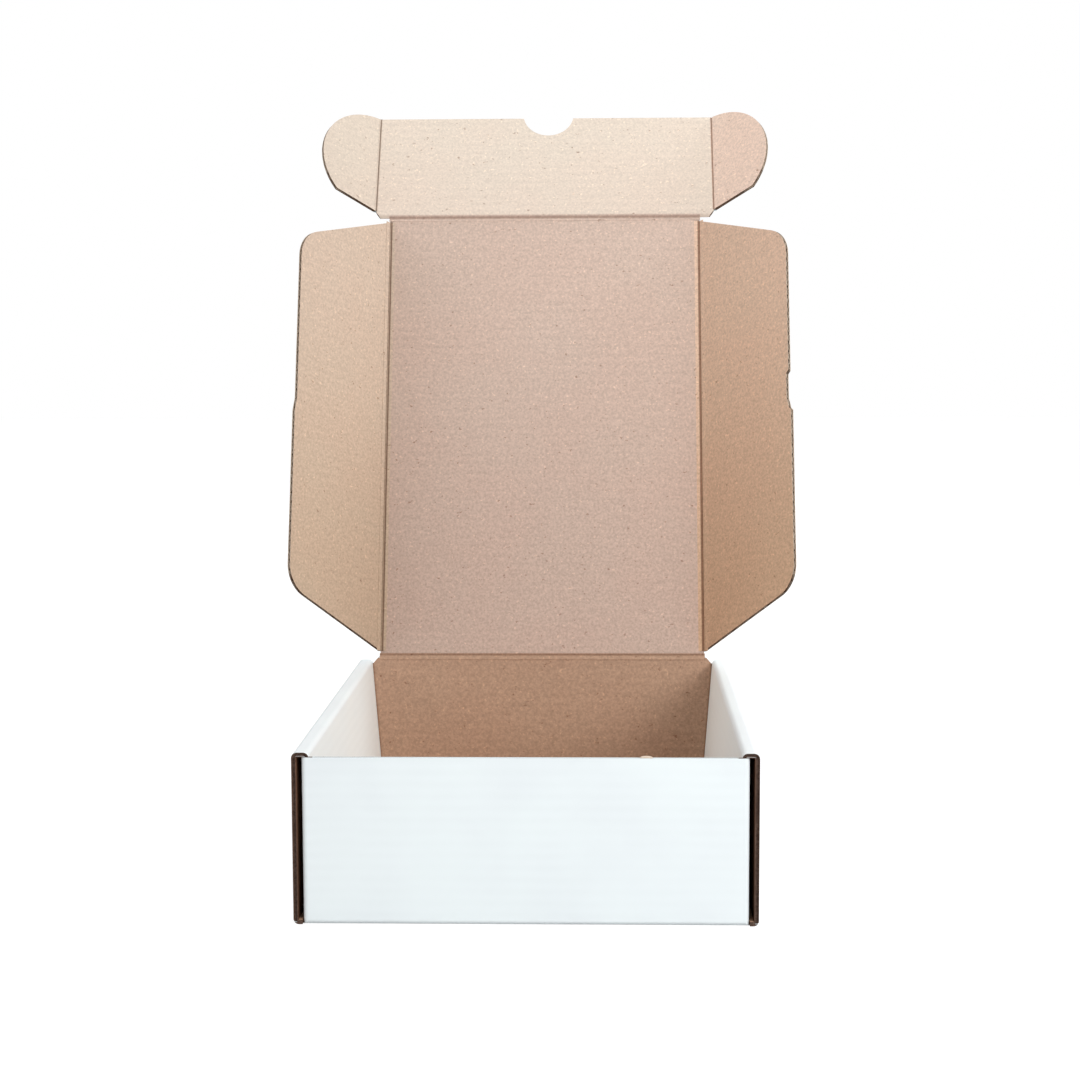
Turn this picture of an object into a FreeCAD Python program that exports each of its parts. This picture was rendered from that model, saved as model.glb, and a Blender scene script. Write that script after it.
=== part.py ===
import FreeCAD, Part
import math
import os

# Corrugated mailer box, die-cut from one sheet and folded, shown open.
# +X is the box's right, +Y its back and +Z up; the origin is the middle of the base's underside.
# The tray, the lid and the lid's five flaps meet at crushed creases, which are the joints.
# Every size is in millimetres and every angle in degrees.

# Board
board = 2.4             # thickness of the fluted board
liner = 0.4             # each of its two outer papers
medium = 0.3            # the wavy paper between them
flute_pitch = 6.4       # one full wave
flute_contact = 1.2     # flat of a wave where it is glued to a liner
layer_gap = 0.15        # air between layers that lie together

# Tray
inner_width = 228.0     # between the inner side layers, at their tops
inner_depth = 305.0     # front wall to back wall
side_height = 92.4      # floor to the top of the rolled-over side walls
fold_radius = 3.0       # outside radius of a fold in the tray
inner_lean = 4.4        # lean of an inner side layer, inwards at its foot
ear_slot = 2.8          # slot beside the front wall that takes an ear of the tuck flap
corner_relief = 0.4     # slit between a side wall and the end of the front or back wall

# Trapped corner flaps, between the layers of each side wall
corner_flap_length = 76.0
corner_flap_drop = 14.0     # their top edges, below the top of the side walls
corner_flap_lift = 5.0      # their bottom edges, above the floor
corner_flap_taper = 12.0    # narrowing of the free end, top and bottom

# Tabs of the inner side layers, in slots in the base
tab_length = 40.0
tab_spacing = 150.0     # centre to centre
tab_clearance = 0.4     # on every side of a tab in its slot
tab_recess = 0.3        # tab's end above the underside

# Lid
hinge_height = 95.2     # crease between the back wall and the lid
lid_width = 218.0       # crease to crease
lid_tilt = 18.0         # backwards from upright, as the open lid stands
lid_crush = 1.3         # half-width of a crushed crease
wing_crush = 4.2        # the same on the inside of the wings' creases, which fold the furthest
tuck_crush = 2.2        # the same on the inside of the tuck flap's crease, a wide soft groove
crease_gap = 0.4        # from a crease's middle to the crushed edge beside it
crease_web = 0.2        # thickness of the crushed edge
shoulder = 4.6          # run of the sloping shoulders beside the lid's crease

# Wings, the lid's side flaps
wing_reach = 85.4       # crease to outer edge
wing_step = 1.7         # the outer edge's upper half stands back by this much
wing_step_height = 157.0    # middle of the step, from the lid's crease
wing_step_run = 9.0
wing_corner = 21.0      # corner radius
wing_slope = 21.0       # slope of the two ends
wing_inset = 3.0        # from the lid's creases to the wing's ends
bite_depth = 2.0        # shallow bite in the right wing's edge, above its step
bite_length = 18.0
left_wing_bend = 51.5   # forward of the lid, as they stand
right_wing_bend = 49.5

# Tuck flap
tuck_height = 85.8
tuck_foot = 230.6       # length of its crease with the lid
tuck_bend = 14.0        # backwards of the lid, as it stands
tuck_clearance = 0.5    # between the closed tuck flap and the front wall
notch_width = 35.3      # thumb notch in the free edge
notch_depth = 15.0
notch_shift = 2.0       # its middle, to the right of the flap's

# Ears of the tuck flap
ear_reach = 44.3
ear_radius = 42.3       # round edge, which meets the tuck flap's free edge
ear_bend = 35.0         # forward of the tuck flap, as they stand
ear_start = 6.4         # foot of the ear's crease, above the lid's crease
ear_slope = 12.5        # slope of the ear's lower edge

V = FreeCAD.Vector
X_AXIS = V(1, 0, 0)
Y_AXIS = V(0, 1, 0)
Z_AXIS = V(0, 0, 1)
ORIGIN = V(0, 0, 0)

# Places worked out from the sizes above
lean_tan = math.tan(math.radians(inner_lean))
lean_cos = math.cos(math.radians(inner_lean))
half_board = board / 2
side_top_mid = side_height - half_board
inner_face = inner_width / 2
flap_top = side_height - corner_flap_drop
flap_face = inner_face + board / lean_cos - corner_flap_drop * lean_tan + layer_gap
front_half = flap_face + board
side_mid = front_half + ear_slot + half_board
wall_mid = inner_depth / 2 + half_board
wall_face = inner_depth / 2 + board
under_roll = side_height - board - layer_gap
hinge_y = wall_mid
lid_half = lid_width / 2
lid_length = hinge_y + wall_face + tuck_clearance + half_board
ear_mid = front_half + ear_slot / 2
bend_mid = fold_radius - half_board


def turned(direction, left):
    """Unit vector square to a direction, to its left or right."""
    return V(-direction.y, direction.x, 0) if left else V(direction.y, -direction.x, 0)


def sheet_face(corners, thickness, radius):
    """Section of a folded sheet: its middle line runs through the corners, rounded to a radius."""
    points = [V(a, b, 0) for a, b in corners]
    sides = {1: [], -1: []}
    ends = {1: points[0], -1: points[0]}
    first = (points[1] - points[0]).normalize()
    for side in sides:
        ends[side] = points[0] + turned(first, True) * (side * thickness / 2)
    starts = dict(ends)
    for before, corner, after in zip(points, points[1:], points[2:]):
        way_in = (corner - before).normalize()
        way_out = (after - corner).normalize()
        turn = way_in.getAngle(way_out)
        left = way_in.cross(way_out).z > 0
        run = radius * math.tan(turn / 2)
        centre = corner - way_in * run + turned(way_in, left) * radius
        middle = (corner - centre).normalize()
        for side in sides:
            inside = (side == 1) == left
            arc_radius = radius - thickness / 2 if inside else radius + thickness / 2
            begin = centre - turned(way_in, left) * arc_radius
            finish = centre - turned(way_out, left) * arc_radius
            sides[side].append(Part.LineSegment(ends[side], begin).toShape())
            sides[side].append(Part.Arc(begin, centre + middle * arc_radius, finish).toShape())
            ends[side] = finish
    last = (points[-1] - points[-2]).normalize()
    for side in sides:
        finish = points[-1] + turned(last, True) * (side * thickness / 2)
        sides[side].append(Part.LineSegment(ends[side], finish).toShape())
        ends[side] = finish
    caps = [Part.LineSegment(starts[1], starts[-1]).toShape(), Part.LineSegment(ends[1], ends[-1]).toShape()]
    edges = Part.__sortEdges__(sides[1] + sides[-1] + caps)
    return Part.Face(Part.Wire(edges))


def along_y(face, start, end):
    """A section drawn in X and Z, extruded along Y."""
    section = face.copy()
    section.rotate(ORIGIN, X_AXIS, 90)
    section.translate(V(0, start, 0))
    return section.extrude(V(0, end - start, 0))


def along_x(face, start, end):
    """A section drawn in Y and Z, extruded along X."""
    section = face.copy()
    section.rotate(ORIGIN, X_AXIS, 90)
    section.rotate(ORIGIN, Z_AXIS, 90)
    section.translate(V(start, 0, 0))
    return section.extrude(V(end - start, 0, 0))


def polygon(points):
    """Flat face through points given as pairs, in X and Y."""
    corners = [V(a, b, 0) for a, b in points]
    return Part.Face(Part.makePolygon(corners + corners[:1]))


def box(low, high):
    """Box between two corners."""
    return Part.makeBox(high[0] - low[0], high[1] - low[1], high[2] - low[2], V(*low))


def mirrored(shape, normal):
    """A shape and its mirror image through the origin."""
    return [shape, shape.mirror(ORIGIN, normal)]


def side_path(foot):
    """Middle line of the right side wall: base, outer layer, top, and inner layer down to its foot."""
    top_x = inner_face + half_board / lean_cos - half_board * lean_tan
    foot_x = top_x - (side_top_mid - foot) * lean_tan
    return [(front_half + corner_relief, half_board), (side_mid, half_board),
            (side_mid, side_top_mid), (top_x, side_top_mid), (foot_x, foot)]


def inner_layer_x(height):
    """Middle of an inner side layer at a height."""
    return side_path(height)[-1][0]


def side_wall():
    """Right side wall, rolled over at its top, with the cut edges' open flutes."""
    half_run = wall_face - layer_gap
    core = board - 2 * liner
    wall = along_y(sheet_face(side_path(board + layer_gap), board, bend_mid), -half_run, half_run)
    inner_end = inner_depth / 2 - layer_gap
    for groove in mirrored(along_y(sheet_face(side_path(board + liner)[1:], core, bend_mid),
                                   half_run - flute_contact, half_run + board), Y_AXIS):
        wall = wall.cut(groove)
    behind_wall = box((inner_layer_x(0) - board, inner_end, board),
                      (front_half + layer_gap, half_run + board, under_roll + layer_gap))
    for clearance in mirrored(behind_wall, Y_AXIS):
        wall = wall.cut(clearance)
    for place in (-tab_spacing / 2, tab_spacing / 2):
        path = [(inner_layer_x(z), z) for z in (board + 2 * layer_gap, tab_recess)]
        wall = wall.fuse(along_y(sheet_face(path, board, bend_mid), place - tab_length / 2, place + tab_length / 2))
    return wall


def base_panel():
    """Base, with the slots for the tabs of the inner side layers."""
    half_x = side_mid - bend_mid
    half_y = wall_face - fold_radius
    panel = box((-half_x, -half_y, 0), (half_x, half_y, board))
    middle = inner_layer_x(half_board)
    wide = half_board / lean_cos + tab_clearance
    long = tab_length / 2 + tab_clearance
    for place in (-tab_spacing / 2, tab_spacing / 2):
        slot = box((middle - wide, place - long, -board), (middle + wide, place + long, 2 * board))
        for side in mirrored(slot, X_AXIS):
            panel = panel.cut(side)
    return panel


def corner_flap():
    """Right corner flap of the front wall, folded back between the side wall's layers."""
    mid_x = front_half - half_board
    reach = wall_mid - corner_flap_length
    path = [(mid_x - fold_radius * 2, -wall_mid), (mid_x, -wall_mid), (mid_x, -reach)]
    flap = sheet_face(path, board, bend_mid)
    flap.translate(V(0, 0, corner_flap_lift))
    flap = flap.extrude(V(0, 0, flap_top - corner_flap_lift))
    start = wall_mid - 2 * fold_radius
    outline = polygon([(-wall_face - board, corner_flap_lift), (-start, corner_flap_lift),
                       (-reach, corner_flap_lift + corner_flap_taper), (-reach, flap_top - corner_flap_taper),
                       (-start, flap_top), (-wall_face - board, flap_top)])
    return flap.common(along_x(outline, 0, front_half + board))


def end_wall(top):
    """Front wall: fold at the base, rounded ends and both corner flaps."""
    base_edge = wall_face - fold_radius - bend_mid
    section = sheet_face([(-base_edge, half_board), (-wall_mid, half_board), (-wall_mid, top)], board, bend_mid)
    wall = along_x(section, -front_half, front_half)
    plan = box((-front_half, -wall_face, -board), (front_half, 0, top + board))
    corners = [edge for edge in plan.Edges
               if abs(edge.tangentAt(edge.FirstParameter).z) > 0.9 and edge.CenterOfMass.y < -board]
    wall = wall.common(plan.makeFillet(fold_radius, corners))
    for flap in mirrored(corner_flap(), X_AXIS):
        wall = wall.fuse(flap)
    return wall


def front_wall():
    """Front wall, with the open flute along its top edge."""
    groove = box((-front_half + fold_radius * 2, -wall_mid - half_board + liner, under_roll - flute_contact),
                 (front_half - fold_radius * 2, -wall_mid + half_board - liner, under_roll + board))
    return end_wall(under_roll).cut(groove)


def back_wall():
    """Back wall: shoulders beside the lid's crease, and its top edge crushed at the crease."""
    top = hinge_height - crease_gap
    wall = end_wall(top).mirror(ORIGIN, Y_AXIS)
    outer = lid_half + shoulder
    wide = front_half + board
    outline = polygon([(-wide, -board), (wide, -board), (wide, under_roll), (outer, under_roll),
                       (lid_half, hinge_height), (-lid_half, hinge_height), (-outer, under_roll), (-wide, under_roll)])
    wall = wall.common(along_y(outline, 0, wall_face + board))
    crush = crease_wedges(2 * front_half, lid_crush, lid_crush)
    crush.rotate(ORIGIN, X_AXIS, -90)
    crush.translate(V(-front_half, hinge_y, hinge_height))
    return wall.cut(crush)


def crease_wedges(length, inside, outside):
    """What crushing takes off the inside, +Z, and outside of a panel in +Y of a crease along +X."""
    slopes = []
    for side, half_width in ((1, inside), (-1, outside)):
        corners = [(0, crease_web / 2), (crease_gap, crease_web / 2), (half_width, half_board),
                   (half_width, board), (-half_width, board), (-half_width, crease_web / 2)]
        section = polygon([(a, side * b) for a, b in corners])
        slopes.append(along_x(section, 0, length))
    return slopes[0].fuse(slopes[1])


def crushed(panel, start, end, inside=lid_crush):
    """A flat panel, crushed along a crease that has the panel on its left."""
    way = V(end[0] - start[0], end[1] - start[1], 0)
    wedges = crease_wedges(way.Length, inside, lid_crush)
    wedges.rotate(ORIGIN, Z_AXIS, math.degrees(math.atan2(way.y, way.x)))
    wedges.translate(V(start[0], start[1], 0))
    return panel.cut(wedges)


def flat_panel(wire):
    """Board between its two faces, with its middle plane at Z = 0."""
    face = Part.Face(wire)
    face.translate(V(0, 0, -half_board))
    return face.extrude(V(0, 0, board))


def flutes(low, high, start, end):
    """Air channels of the fluted board from low to high along Y, each running from start to end along X."""
    core = half_board - liner
    narrow = flute_contact / 2 - medium / 2
    wide = flute_pitch / 2 - flute_contact / 2
    first = math.ceil(low / (flute_pitch / 2))
    last = math.floor(high / (flute_pitch / 2))
    channels = []
    for number in range(first, last + 1):
        side = 1 if number % 2 else -1
        middle = number * flute_pitch / 2
        section = polygon([(middle - wide, -side * core), (middle + wide, -side * core),
                           (middle + narrow, side * (core - medium)), (middle - narrow, side * (core - medium))])
        channels.append(along_x(section, start, end))
    return Part.makeCompound(channels)


def outline_wire(corners):
    """Closed outline through corners (x, y, radius), each rounded to its radius."""
    points = [V(x, y, 0) for x, y, _ in corners]
    radii = [radius for _, _, radius in corners]
    count = len(points)
    pieces = []
    for i in range(count):
        way_in = (points[i] - points[i - 1]).normalize()
        way_out = (points[(i + 1) % count] - points[i]).normalize()
        run = radii[i] * math.tan(way_in.getAngle(way_out) / 2)
        begin = points[i] - way_in * run
        finish = points[i] + way_out * run
        left = way_in.cross(way_out).z > 0
        if run > 0:
            centre = begin + turned(way_in, left) * radii[i]
            middle = centre + (points[i] - centre).normalize() * radii[i]
            pieces.append((begin, finish, Part.Arc(begin, middle, finish).toShape()))
        else:
            pieces.append((begin, finish, None))
    edges = []
    for i in range(count):
        if pieces[i][2]:
            edges.append(pieces[i][2])
        edges.append(Part.LineSegment(pieces[i][1], pieces[(i + 1) % count][0]).toShape())
    return Part.Wire(edges)


def lid_panel():
    """Lid, crushed along its four creases."""
    half = lid_half - crease_gap
    low, high = crease_gap, lid_length - crease_gap
    panel = flat_panel(Part.makePolygon([V(-half, low, 0), V(half, low, 0), V(half, high, 0),
                                         V(-half, high, 0), V(-half, low, 0)]))
    panel = crushed(panel, (-lid_half, 0), (lid_half, 0))
    panel = crushed(panel, (lid_half, 0), (lid_half, lid_length), wing_crush)
    panel = crushed(panel, (lid_half, lid_length), (-lid_half, lid_length), tuck_crush)
    return crushed(panel, (-lid_half, lid_length), (-lid_half, 0), wing_crush)


def wing_panel(bitten):
    """Right wing, flat beside the lid; its upper edge stands back, with a bite above the step if bitten."""
    slope = math.tan(math.radians(wing_slope))
    near = lid_half + crease_gap
    far = lid_half + wing_reach
    back = far - wing_step
    low, high = wing_inset, lid_length - wing_inset
    step_low = wing_step_height - wing_step_run / 2
    step_high = wing_step_height + wing_step_run / 2
    corners = [(near, low, 0), (far, low + wing_reach * slope, wing_corner), (far, step_low, 0)]
    if bitten:
        bitten_edge = back - bite_depth
        corners += [(back, step_low + wing_step, 0), (bitten_edge, step_high, bite_depth),
                    (bitten_edge, step_high + bite_length - bite_depth, bite_depth),
                    (back, step_high + bite_length, 0)]
    else:
        corners += [(back, step_high, 0)]
    corners += [(back, high - (wing_reach - wing_step) * slope, wing_corner), (near, high, 0)]
    panel = flat_panel(outline_wire(corners))
    panel = crushed(panel, (lid_half, lid_length), (lid_half, 0), wing_crush)
    channel_start = lid_half + wing_crush + flute_contact
    return panel.cut(flutes(low + flute_pitch, high - flute_pitch, channel_start, far + board))


def tuck_panel():
    """Tuck flap, with its thumb notch and the open flutes that the notch cuts across."""
    foot = tuck_foot / 2
    half = ear_mid - crease_gap
    top = tuck_height
    rise = ear_start * (half - foot) / (ear_mid - foot)
    half_notch = notch_width / 2
    notch_radius = (half_notch ** 2 + notch_depth ** 2) / (2 * notch_depth)
    sheet = polygon([(-foot, crease_gap), (foot, crease_gap), (half, rise), (half, top), (-half, top), (-half, rise)])
    sheet.translate(V(0, 0, -half_board))
    panel = sheet.extrude(V(0, 0, board))
    notch_centre = V(notch_shift, top - notch_depth + notch_radius, -board)
    panel = panel.cut(Part.makeCylinder(notch_radius, 2 * board, notch_centre))
    panel = crushed(panel, (-ear_mid, 0), (ear_mid, 0), tuck_crush)
    panel = crushed(panel, (ear_mid, 0), (ear_mid, top))
    panel = crushed(panel, (-ear_mid, top), (-ear_mid, 0))
    channel_end = ear_mid - lid_crush - flute_contact
    return panel.cut(flutes(top - notch_depth + flute_contact, top, -channel_end, channel_end))


def ear_panel():
    """Right ear, flat beside the tuck flap: a disc with a straight lower edge, cut off at its crease."""
    near = ear_mid + crease_gap
    far = ear_mid + ear_reach
    rise = ear_reach * math.tan(math.radians(ear_slope))
    bounds = polygon([(near, ear_start), (far, ear_start + rise), (far, tuck_height), (near, tuck_height)])
    bounds.translate(V(0, 0, -half_board))
    centre = V(far - ear_radius, tuck_height - ear_radius, -half_board)
    panel = Part.makeCylinder(ear_radius, board, centre).common(bounds.extrude(V(0, 0, board)))
    panel = crushed(panel, (ear_mid, tuck_height), (ear_mid, 0))
    channel_start = ear_mid + lid_crush + flute_contact
    return panel.cut(flutes(ear_start + flute_pitch, tuck_height - flute_pitch / 2, channel_start, far + board))


def bent(panel, crease_x, angle):
    """A side flap turned forward about its crease, which runs along Y at crease_x."""
    panel.rotate(V(crease_x, 0, 0), Y_AXIS, -angle if crease_x > 0 else angle)
    return panel


def on_lid(shape):
    """From the lid's flat frame to its place on the open box."""
    shape.rotate(ORIGIN, X_AXIS, 90 - lid_tilt)
    shape.translate(V(0, hinge_y, hinge_height))
    return shape


def on_tuck(shape):
    """From the tuck flap's flat frame to its place on the open lid."""
    shape.rotate(ORIGIN, X_AXIS, -tuck_bend)
    shape.translate(V(0, lid_length, 0))
    return on_lid(shape)


def other_side(shape):
    """Mirror image of a right-hand flap."""
    return shape.mirror(ORIGIN, X_AXIS)


def tray():
    """The whole tray, one folded sheet."""
    shape = base_panel()
    for wall in mirrored(side_wall(), X_AXIS):
        shape = shape.fuse(wall)
    for wall in (front_wall(), back_wall()):
        shape = shape.fuse(wall)
    return shape.removeSplitter()


parts = {
    "tray": tray(),
    "lid": on_lid(lid_panel()),
    "left_wing": on_lid(bent(other_side(wing_panel(False)), -lid_half, left_wing_bend)),
    "right_wing": on_lid(bent(wing_panel(True), lid_half, right_wing_bend)),
    "tuck_flap": on_tuck(tuck_panel()),
    "left_ear": on_tuck(bent(other_side(ear_panel()), -ear_mid, ear_bend)),
    "right_ear": on_tuck(bent(ear_panel(), ear_mid, ear_bend)),
}

os.makedirs("parts", exist_ok=True)
for name, shape in parts.items():
    solids = shape.Solids
    print(name, "solids", len(solids), "valid", shape.isValid(), "volume", round(shape.Volume, 1),
          "faces", len(shape.Faces))
    body = solids[0] if len(solids) == 1 else Part.makeCompound(solids)
    body.exportStep("parts/" + name + ".step")
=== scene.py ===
import logging
import math
from dataclasses import dataclass
from enum import Enum
from typing import Iterable, Optional, Sequence, Union

import bpy
from mathutils import Matrix, Vector


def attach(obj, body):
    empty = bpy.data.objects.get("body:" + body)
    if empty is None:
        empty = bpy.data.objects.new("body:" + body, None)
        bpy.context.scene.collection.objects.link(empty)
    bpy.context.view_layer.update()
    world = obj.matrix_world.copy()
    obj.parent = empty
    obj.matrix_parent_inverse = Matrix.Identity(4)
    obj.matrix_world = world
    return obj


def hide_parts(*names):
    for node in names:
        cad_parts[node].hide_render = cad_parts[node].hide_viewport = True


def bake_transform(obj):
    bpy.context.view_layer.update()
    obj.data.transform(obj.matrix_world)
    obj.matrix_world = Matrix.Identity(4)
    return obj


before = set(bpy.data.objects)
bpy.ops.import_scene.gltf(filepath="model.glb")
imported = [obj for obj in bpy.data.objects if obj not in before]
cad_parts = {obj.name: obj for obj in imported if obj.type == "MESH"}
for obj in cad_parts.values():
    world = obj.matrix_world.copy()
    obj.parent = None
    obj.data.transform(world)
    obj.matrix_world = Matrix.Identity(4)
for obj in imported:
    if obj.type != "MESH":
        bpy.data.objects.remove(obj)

logging.basicConfig(level=logging.INFO, format="%(message)s")
log = logging.getLogger("mailer")

Colour = tuple[float, float, float, float]
Triple = tuple[float, float, float]
Value = Union[bpy.types.NodeSocket, float, Colour]

MM = 0.001
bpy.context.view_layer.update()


class Side(Enum):
    """Which side of the box a flap is on."""

    LEFT = -1
    RIGHT = 1


class Zone(Enum):
    """What a face of the board shows; the value is its material slot on a piece."""

    KRAFT = 0
    WHITE = 1
    CUT = 2
    # Cut edge in a darker finish: painted shade.
    SHADED = 3
    # White liner inside the tray, painted brighter: painted light.
    INNER = 4
    # Kraft painted dark as shade, in the slots and under the roll.
    HIDDEN = 5


@dataclass(frozen=True)
class Board:
    """Sizes of the fluted board, in mm."""

    thickness: float = 2.4
    liner: float = 0.4
    flute_pitch: float = 6.4
    lid_crush: float = 1.3
    tuck_crush: float = 2.2
    wing_crush: float = 4.2

    @property
    def half(self) -> float:
        """From the board's middle to either face."""
        return self.thickness / 2


@dataclass(frozen=True)
class Panel:
    """Frame of a flat panel: a point of its crease, and three directions.

    They run along the crease, away from it into the panel, and out of the kraft side.
    """

    origin: Vector
    along: Vector
    away: Vector
    normal: Vector

    def point(self, along: float, away: float, height: float) -> Vector:
        """Point of the panel in metres, from distances in mm.

        Args:
            along: Distance along the crease.
            away: Distance from the crease, into the panel.
            height: Distance from the middle plane, towards the kraft side.

        Returns:
            The point in the row frame.
        """
        return (self.origin + self.along * along + self.away * away + self.normal * height) * MM

    def height(self, point: Vector) -> float:
        """Distance of a point in metres from the middle plane, in mm."""
        return (point / MM - self.origin).dot(self.normal)


# Sizes that the solids were built with, in mm and degrees.
BOARD = Board()
HINGE = Vector((0.0, 153.7, 95.2))
LID_HALF = 109.0
LID_LENGTH = 310.3
LID_TILT = 18.0
TUCK_TILT = 32.0
TUCK_HEIGHT = 85.8
EAR_MID = 119.28
X_AXIS = Vector((1.0, 0.0, 0.0))
UP = Vector((0.0, 0.0, 1.0))

# How loose triangles are merged into faces and shaded, and how a face's zone is told.
MERGE_GAP = 0.002 * MM
FLAT_ANGLE = math.radians(0.3)
SMOOTH_ANGLE = math.radians(28)
STRIP_SMOOTH_ANGLE = math.radians(50)
ON_FACE = 0.03
BY_CREASE = 0.3


def leaning(tilt: float) -> tuple[Vector, Vector]:
    """Up direction and kraft-side normal of a panel that leans back.

    Args:
        tilt: Lean from upright, in degrees.

    Returns:
        The two unit vectors.
    """
    angle = math.radians(tilt)
    return (Vector((0.0, math.sin(angle), math.cos(angle))),
            Vector((0.0, -math.cos(angle), math.sin(angle))))


def side_panel(parent: Panel, offset: float, side: Side, bend: float) -> Panel:
    """Frame of a flap that turns forward beside a panel.

    Args:
        parent: The panel it is creased to.
        offset: From the parent's middle to the crease.
        side: Which side it is on.
        bend: Turn towards the kraft side, in degrees.

    Returns:
        The flap's frame, with its crease along the parent's away direction.
    """
    angle = math.radians(bend)
    outward = X_AXIS * side.value
    away = outward * math.cos(angle) + parent.normal * math.sin(angle)
    normal = parent.normal * math.cos(angle) - outward * math.sin(angle)
    return Panel(parent.origin + outward * offset, parent.away, away, normal)


LID_UP, LID_NORMAL = leaning(LID_TILT)
TUCK_UP, TUCK_NORMAL = leaning(TUCK_TILT)
LID = Panel(HINGE, X_AXIS, LID_UP, LID_NORMAL)
TUCK = Panel(HINGE + LID_UP * LID_LENGTH, X_AXIS, TUCK_UP, TUCK_NORMAL)


class Mixer:
    """Adds shader nodes to a material and wires them."""

    def __init__(self, name: str) -> None:
        """Starts a material that has only its output and a principled shader.

        Args:
            name: Material name.
        """
        self.material = bpy.data.materials.new(name)
        self.material.use_nodes = True
        self.tree = self.material.node_tree
        self.shader = self.tree.nodes["Principled BSDF"]
        self.place = self.add("ShaderNodeTexCoord").outputs["Object"]

    def add(self, kind: str, **settings: str) -> bpy.types.Node:
        """A new node with its settings made.

        Args:
            kind: The node's type.
            **settings: Its properties.

        Returns:
            The node.
        """
        made = self.tree.nodes.new(kind)
        for key, value in settings.items():
            setattr(made, key, value)
        return made

    def join(self, socket: bpy.types.NodeSocket, value: Value) -> None:
        """Links a socket to an output, or sets its value.

        Args:
            socket: The input.
            value: The output to link, or a plain value.
        """
        if isinstance(value, bpy.types.NodeSocket):
            self.tree.links.new(value, socket)
        else:
            socket.default_value = value

    def math(self, operation: str, first: Value, second: Value = 0.0) -> bpy.types.NodeSocket:
        """Result of one arithmetic step.

        Args:
            operation: Blender's name of the step.
            first: The first value.
            second: The second value.

        Returns:
            The result.
        """
        step = self.add("ShaderNodeMath", operation=operation)
        self.join(step.inputs[0], first)
        self.join(step.inputs[1], second)
        return step.outputs[0]

    def along(self, direction: Vector, origin: Vector) -> bpy.types.NodeSocket:
        """Distance along a direction, in metres.

        Args:
            direction: Unit vector.
            origin: Point that the distance is counted from.

        Returns:
            The distance.
        """
        moved = self.add("ShaderNodeVectorMath", operation="SUBTRACT")
        self.join(moved.inputs[0], self.place)
        moved.inputs[1].default_value = origin
        dot = self.add("ShaderNodeVectorMath", operation="DOT_PRODUCT")
        self.join(dot.inputs[0], moved.outputs[0])
        dot.inputs[1].default_value = direction
        return dot.outputs["Value"]

    def noise(self, scale: float, detail: float = 2.0, roughness: float = 0.5,
              stretch: Triple = (1.0, 1.0, 1.0)) -> bpy.types.NodeSocket:
        """Noise over the piece, from about 0 to 1.

        Args:
            scale: Features per metre.
            detail: Finer layers added.
            roughness: Their share.
            stretch: Scale of the pattern along X, Y and Z.

        Returns:
            The noise's factor.
        """
        mapping = self.add("ShaderNodeMapping")
        self.join(mapping.inputs["Vector"], self.place)
        mapping.inputs["Scale"].default_value = stretch
        pattern = self.add("ShaderNodeTexNoise")
        self.join(pattern.inputs["Vector"], mapping.outputs[0])
        pattern.inputs["Scale"].default_value = scale
        pattern.inputs["Detail"].default_value = detail
        pattern.inputs["Roughness"].default_value = roughness
        return pattern.outputs["Fac"]

    def between(self, value: Value, low: float, high: float, start: float = 0.0,
                end: float = 1.0) -> bpy.types.NodeSocket:
        """A range stretched to another one, smoothly and without going past it.

        Args:
            value: The value in the first range.
            low: Start of the first range.
            high: End of the first range.
            start: Start of the second range.
            end: End of the second range.

        Returns:
            The value in the second range.
        """
        step = self.add("ShaderNodeMapRange", interpolation_type="SMOOTHSTEP")
        self.join(step.inputs["Value"], value)
        ends = {"From Min": low, "From Max": high, "To Min": start, "To Max": end}
        for socket, number in ends.items():
            step.inputs[socket].default_value = number
        return step.outputs[0]

    def blend(self, factor: Value, first: Value, second: Value, mode: str = "MIX") -> bpy.types.NodeSocket:
        """Two colours mixed.

        Args:
            factor: Share of the second colour.
            first: The colour below.
            second: The colour laid over it.
            mode: Blender's name of the way they mix.

        Returns:
            The mixed colour.
        """
        mix = self.add("ShaderNodeMix", data_type="RGBA", blend_type=mode)
        self.join(mix.inputs[0], factor)
        self.join(mix.inputs[6], first)
        self.join(mix.inputs[7], second)
        return mix.outputs[2]

    def ridges(self, height: Value, distance: float) -> None:
        """Bumps the surface.

        Args:
            height: Height, from about 0 to 1.
            distance: What a height of 1 stands for, in metres.
        """
        bump = self.add("ShaderNodeBump")
        bump.inputs["Strength"].default_value = 1.0
        bump.inputs["Distance"].default_value = distance
        self.join(bump.inputs["Height"], height)
        self.join(self.shader.inputs["Normal"], bump.outputs[0])

    def wave(self, height: Value, pitch: float) -> bpy.types.NodeSocket:
        """The flutes' wave, from -1 to 1.

        Args:
            height: Distance across the flutes.
            pitch: From one flute to the next.

        Returns:
            The wave.
        """
        return self.math("SINE", self.math("MULTIPLY", height, 2 * math.pi / pitch))

    def set_surface(self, colour: Value, roughness: Value, gloss: float) -> None:
        """Sets the shader's colour, roughness and specular level.

        Args:
            colour: Base colour.
            roughness: From 0, a mirror, to 1.
            gloss: Specular level.
        """
        self.join(self.shader.inputs["Base Color"], colour)
        self.join(self.shader.inputs["Roughness"], roughness)
        self.shader.inputs["Specular IOR Level"].default_value = gloss


def rgb(red: float, green: float, blue: float) -> Colour:
    """A colour given in screen values from 0 to 255, made linear.

    Args:
        red: Red.
        green: Green.
        blue: Blue.

    Returns:
        The linear colour with full alpha.
    """
    def linear(value: float) -> float:
        """One channel made linear."""
        share = value / 255
        return share / 12.92 if share <= 0.04045 else ((share + 0.055) / 1.055) ** 2.4
    return linear(red), linear(green), linear(blue), 1.0


@dataclass(frozen=True)
class Fold:
    """A line darkened in the board's colour: partly the die's crushed board, partly painted shade of a
    crease's groove or of a corner.

    The width is in mm on each side of the line, and the depth is the shade's share at its middle.
    """

    origin: Vector
    across: Vector
    width: float
    depth: float


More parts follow.
